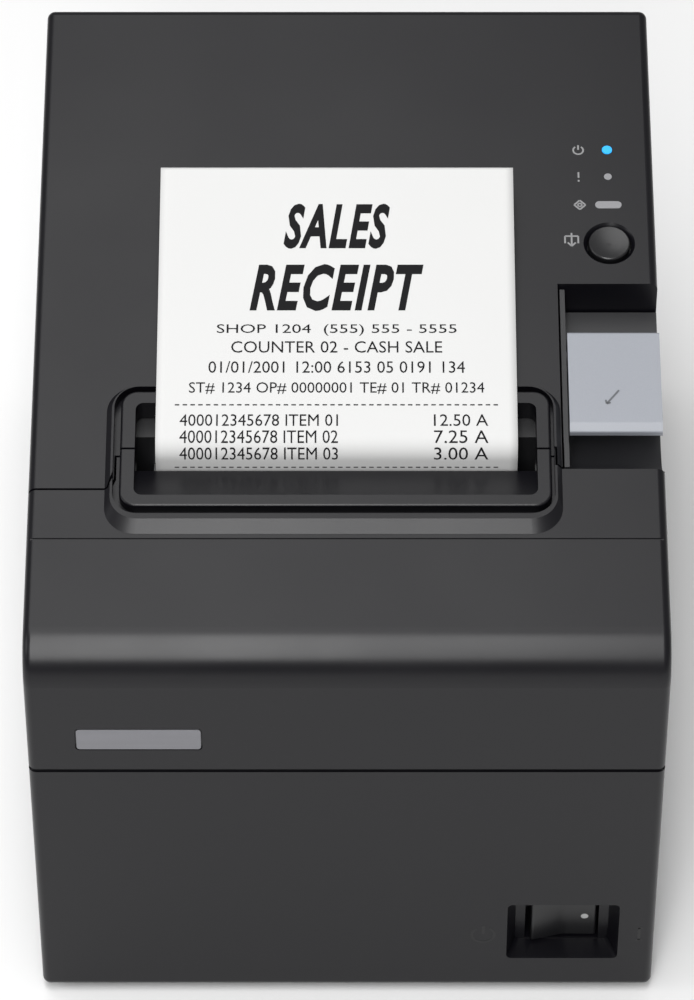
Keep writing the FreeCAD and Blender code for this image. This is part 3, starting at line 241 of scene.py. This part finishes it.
def dress_nodes():
    """Gives every CAD node its material and smooth shading within its faces; the lever deck's pocket gets a
    lighter plastic as painted light.
    """
    for row in frame["record"]["subparts"]:
        node = nodes[row["node"]]
        node.data.materials.clear()
        node.data.materials.append(MATERIALS[row["material_slot"]])
        node.data.shade_smooth()
        node.data.set_sharp_from_angle(angle=math.radians(32))
    nodes["paper_roll"].data.materials[0] = wound_paper()
    # Painted light: the lever deck's pocket gets a plastic a shade lighter than the case's own. This stands
    # in for light falling into the pocket; the real pocket is the same plastic as the case.
    pocket = grained("pocket_painted_light", (0.016, 0.016, 0.018), 0.42, 0.30, 0.22, 0.015)
    nodes["lever_deck"].data.materials[0] = pocket


# ---- small pieces ----
def mesh_object(name, verts, faces, mat, body):
    data = bpy.data.meshes.new(name)
    data.from_pydata([tuple(v) for v in verts], [], faces)
    data.materials.append(mat)
    data.update()
    obj = bpy.data.objects.new(name, data)
    bpy.context.scene.collection.objects.link(obj)
    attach(obj, body)
    return obj


def strip_point(x, along, lift):
    """Point of the paper strip at a distance along it from the print line, lift above its printed face."""
    y_front = paper_low.y + PAPER_T / 2
    start_z = paper_low.z
    rise_len = PAPER_BEND_Z - start_z
    turn = math.pi / 2 - PAPER_RISE
    bend_len = PAPER_BEND_R * turn
    centre = Vector((x, y_front + PAPER_BEND_R, PAPER_BEND_Z))
    if along <= rise_len:
        return Vector((x, y_front - lift, start_z + along))
    if along <= rise_len + bend_len:
        angle = math.pi - (along - rise_len) / PAPER_BEND_R
        radius = PAPER_BEND_R + lift
        return centre + Vector((0, math.cos(angle), math.sin(angle))) * radius
    angle = math.pi - turn
    out = Vector((0, math.cos(angle), math.sin(angle)))
    ahead = Vector((0, math.cos(PAPER_RISE), math.sin(PAPER_RISE)))
    return centre + out * (PAPER_BEND_R + lift) + ahead * (along - rise_len - bend_len)


STRIP_LEN = (PAPER_BEND_Z - paper_low.z) + PAPER_BEND_R * (math.pi / 2 - PAPER_RISE) + PAPER_FREE


def add_receipt():
    x0, x1 = paper_low.x, paper_high.x
    across, along = 41, 150
    verts, faces = [], []
    for j in range(along):
        for i in range(across):
            v = STRIP_LEN * j / (along - 1)
            verts.append(strip_point(x0 + (x1 - x0) * i / (across - 1), v, 0.0))
    for j in range(along - 1):
        for i in range(across - 1):
            a = j * across + i
            faces.append((a, a + 1, a + 1 + across, a + across))
    sheet = mesh_object("receipt_sheet", verts, faces, MATERIALS["paper"], "roll_cover")
    for face in sheet.data.polygons:
        face.use_smooth = True
    thick = sheet.modifiers.new("thickness", "SOLIDIFY")
    thick.thickness = 0.1 * MM
    thick.offset = 0
    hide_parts("receipt_paper")
    return sheet


# printed rows: words, distance of their middle from the strip's free edge, size in mm
HEAD_LINES = [("SALES", 15.7, 12.0, 24.0), ("RECEIPT", 31.9, 12.3, 39.0)]
INFO_LINES = [("SHOP 1204  (555) 555 - 5555", 43.0, 53.5), ("COUNTER 02 - CASH SALE", 47.4, 47.0),
              ("01/01/2001 12:00 6153 05 0191 134", 52.6, 57.0),
              ("ST# 1234 OP# 00000001 TE# 01 TR# 01234", 58.0, 65.5)]
ITEM_LINES = [("400012345678 ITEM 01", "12.50 A", 66.2), ("400012345678 ITEM 02", "7.25 A", 70.3),
              ("400012345678 ITEM 03", "3.00 A", 74.2)]
RULE_ROWS = (62.3, 78.1)
ROW_HEIGHT = 3.0
HEAD_WEIGHT, HEAD_LEAN, HEAD_SPACING = 0.034, 0.3, 1.14
WORDS_X, WORDS_WIDTH = -17.2, 35.0
PRICE_X, PRICE_WIDTH = 27.5, 12.0
DASH_START_X, DASH_PITCH, DASH_COUNT = -35.3, 1.72, 42
DASH_HALF_X, DASH_HALF_Y = 0.5, 0.16
PRINT_LIFT = 0.09 * MM
INK = grained("thermal_ink", (0.004, 0.004, 0.005), 0.6, 0.2, 0.1, specular=0.15)


TEXT_BANDS = 8            # rows that every line of text is cut into, so that it can follow the bend


def text_mesh(words, height, width, weight=0.0, lean=0.0, spacing=1.0):
    """Flat text as (points, faces), height and width in millimetres, centred on the origin."""
    data = bpy.data.curves.new("words", "FONT")
    data.body = words
    data.size = 1.0
    data.offset = weight
    data.shear = lean
    data.space_character = spacing
    data.resolution_u = 3
    obj = bpy.data.objects.new("words", data)
    bpy.context.scene.collection.objects.link(obj)
    bpy.context.view_layer.update()
    mesh = bpy.data.meshes.new_from_object(obj.evaluated_get(bpy.context.evaluated_depsgraph_get()))
    bpy.data.objects.remove(obj)
    bpy.data.curves.remove(data)
    low = Vector((min(v.co.x for v in mesh.vertices), min(v.co.y for v in mesh.vertices)))
    high = Vector((max(v.co.x for v in mesh.vertices), max(v.co.y for v in mesh.vertices)))
    cut = bmesh.new()
    cut.from_mesh(mesh)
    for k in range(1, TEXT_BANDS):
        level = low.y + (high.y - low.y) * k / TEXT_BANDS
        bmesh.ops.bisect_plane(cut, geom=cut.verts[:] + cut.edges[:] + cut.faces[:], dist=1e-5,
                               plane_co=(0, level, 0), plane_no=(0, 1, 0))
    cut.verts.index_update()
    points = [v.co.copy() for v in cut.verts]
    faces = [tuple(v.index for v in face.verts) for face in cut.faces]
    cut.free()
    grow_x, grow_y = width / (high.x - low.x), height / (high.y - low.y)
    middle = (low + high) / 2
    flat = [((p.x - middle.x) * grow_x, (p.y - middle.y) * grow_y) for p in points]
    bpy.data.meshes.remove(mesh)
    return flat, faces


def add_print():
    """All the printing on the receipt, laid on the paper's upper face as one thin mesh."""
    verts, faces = [], []
    mid_x = (paper_low.x + paper_high.x) / 2

    def lay(points, loops, x_mm, down_mm):
        base = len(verts)
        for u, v in points:
            along = STRIP_LEN - (down_mm - v) * MM
            verts.append(strip_point(mid_x + (x_mm + u) * MM, along, PRINT_LIFT))
        faces.extend(tuple(base + k for k in loop) for loop in loops)

    for words, down, height, width in HEAD_LINES:
        lay(*text_mesh(words, height, width, HEAD_WEIGHT, HEAD_LEAN, HEAD_SPACING), 0.0, down)
    for words, down, width in INFO_LINES:
        lay(*text_mesh(words, ROW_HEIGHT, width), 0.0, down)
    for words, price, down in ITEM_LINES:
        lay(*text_mesh(words, ROW_HEIGHT, WORDS_WIDTH), WORDS_X, down)
        lay(*text_mesh(price, ROW_HEIGHT, PRICE_WIDTH), PRICE_X, down)
    dash = [(-DASH_HALF_X, -DASH_HALF_Y), (DASH_HALF_X, -DASH_HALF_Y),
            (DASH_HALF_X, DASH_HALF_Y), (-DASH_HALF_X, DASH_HALF_Y)]
    for down in RULE_ROWS:
        for k in range(DASH_COUNT):
            lay(dash, [(0, 1, 2, 3)], DASH_START_X + DASH_PITCH * k, down)
    obj = mesh_object("receipt_print", verts, faces, INK, "roll_cover")


def ribbon(points, width, place, lift, verts, faces):
    """Adds a flat stroke of the given width in mm along (u, v) points, drawn through place(u, v, lift)."""
    for (u0, v0), (u1, v1) in zip(points, points[1:]):
        length = math.hypot(u1 - u0, v1 - v0)
        nu, nv = -(v1 - v0) / length * width / 2, (u1 - u0) / length * width / 2
        base = len(verts)
        verts.extend(place(u, v, lift) for u, v in
                     ((u0 + nu, v0 + nv), (u0 - nu, v0 - nv), (u1 - nu, v1 - nv), (u1 + nu, v1 + nv)))
        faces.append((base, base + 1, base + 2, base + 3))


def arc_points(cu, cv, r, start, end, steps=20):
    return [(cu + r * math.cos(math.radians(start + (end - start) * k / steps)),
             cv + r * math.sin(math.radians(start + (end - start) * k / steps))) for k in range(steps + 1)]


def add_mark(name, strokes, width, place, lift, mat, body):
    verts, faces = [], []
    for points in strokes:
        ribbon(points, width, place, lift, verts, faces)
    obj = mesh_object(name, verts, faces, mat, body)
    return obj


def power_strokes(u, v, r):
    return [arc_points(u, v, r, 125, 415), [(u, v + 0.1 * r), (u, v + 1.25 * r)]]


def add_panel_marks():
    """Printed marks beside the lamps and the button."""
    ink = grained("panel_ink", (0.24, 0.24, 0.245), 0.5, 0.3, 0.1)
    strokes = power_strokes(53.0, 137.4, 1.15)
    strokes += [[(52.9, 131.1), (52.9, 129.5)], [(52.9, 128.9), (52.9, 128.4)]]
    strokes += [[(51.7, 121.8), (53.0, 123.1), (54.3, 121.8), (53.0, 120.5), (51.7, 121.8)],
                arc_points(53.0, 121.8, 0.45, 0, 360)]
    strokes += [[(49.4, 111.0), (49.4, 113.0), (52.4, 113.0), (52.4, 111.0)],
                [(50.9, 113.9), (50.9, 110.3)], [(50.0, 111.2), (50.9, 110.2), (51.8, 111.2)]]
    add_mark("panel_marks", strokes, 0.40, deck, 0.03, ink, "roll_cover")


def add_front_marks():
    """Marks moulded in the case's own plastic beside the power switch."""
    moulded = grained("moulded_mark", (0.0015, 0.0015, 0.002), 0.45, 0.3, 0.15)
    strokes = power_strokes(31.0, 20.8, 2.6)
    strokes += [[(65.9, 19.0), (67.2, 19.0)], [(65.9, 23.2), (67.2, 23.2)], [(66.5, 19.0), (66.5, 23.2)]]
    mark = add_mark("front_marks", strokes, 0.6, front, 0.0, moulded, "base")
    skin = mark.modifiers.new("height", "SOLIDIFY")
    skin.thickness = 0.06 * MM
    skin.offset = 0


def add_lever_mark():
    ink = grained("lever_tick", (0.10, 0.105, 0.115), 0.5, 0.2, 0.1)
    strokes = [[(57.6, 67.0), (60.4, 70.6)], [(57.4, 68.0), (57.6, 67.0), (58.5, 67.3)]]
    add_mark("lever_mark", strokes, 0.42, deck, 0.04, ink, "lever")


def joint_place(name):
    rows = frame["record"]["behaviour"]["joints"]
    return Vector(next(row["pos_m"] for row in rows if row["name"] == name))


def add_switch_dot():
    """White dot that fills the blind hole in the rocker."""
    pivot = joint_place("power_rock")
    pivot.z = 0
    turn = Matrix.Translation(pivot) @ Matrix.Rotation(math.radians(7), 4, "Z")
    white = grained("dot_white", (0.42, 0.42, 0.42), 0.4, 0.3, 0.1)
    dot_x, dot_z, radius, ring = 4.8, 20.3, 0.85, 28
    slope = 1.0 / 7.6
    verts = []
    for k in range(ring):
        angle = 2 * math.pi * k / ring
        x, z = dot_x + radius * math.cos(angle), dot_z + radius * math.sin(angle)
        verts.append(turn @ (Vector((x, -2.93 - slope * x, z)) * MM))
    verts.append(turn @ (Vector((dot_x, -2.97 - slope * dot_x, dot_z)) * MM))
    faces = [(k, (k + 1) % ring, ring) for k in range(ring)]
    dot = mesh_object("switch_dot", verts, faces, white, "rocker")


dress_nodes()
add_camera()
add_stage()
receipt = add_receipt()
add_print()
add_panel_marks()
add_front_marks()
add_lever_mark()
add_switch_dot()
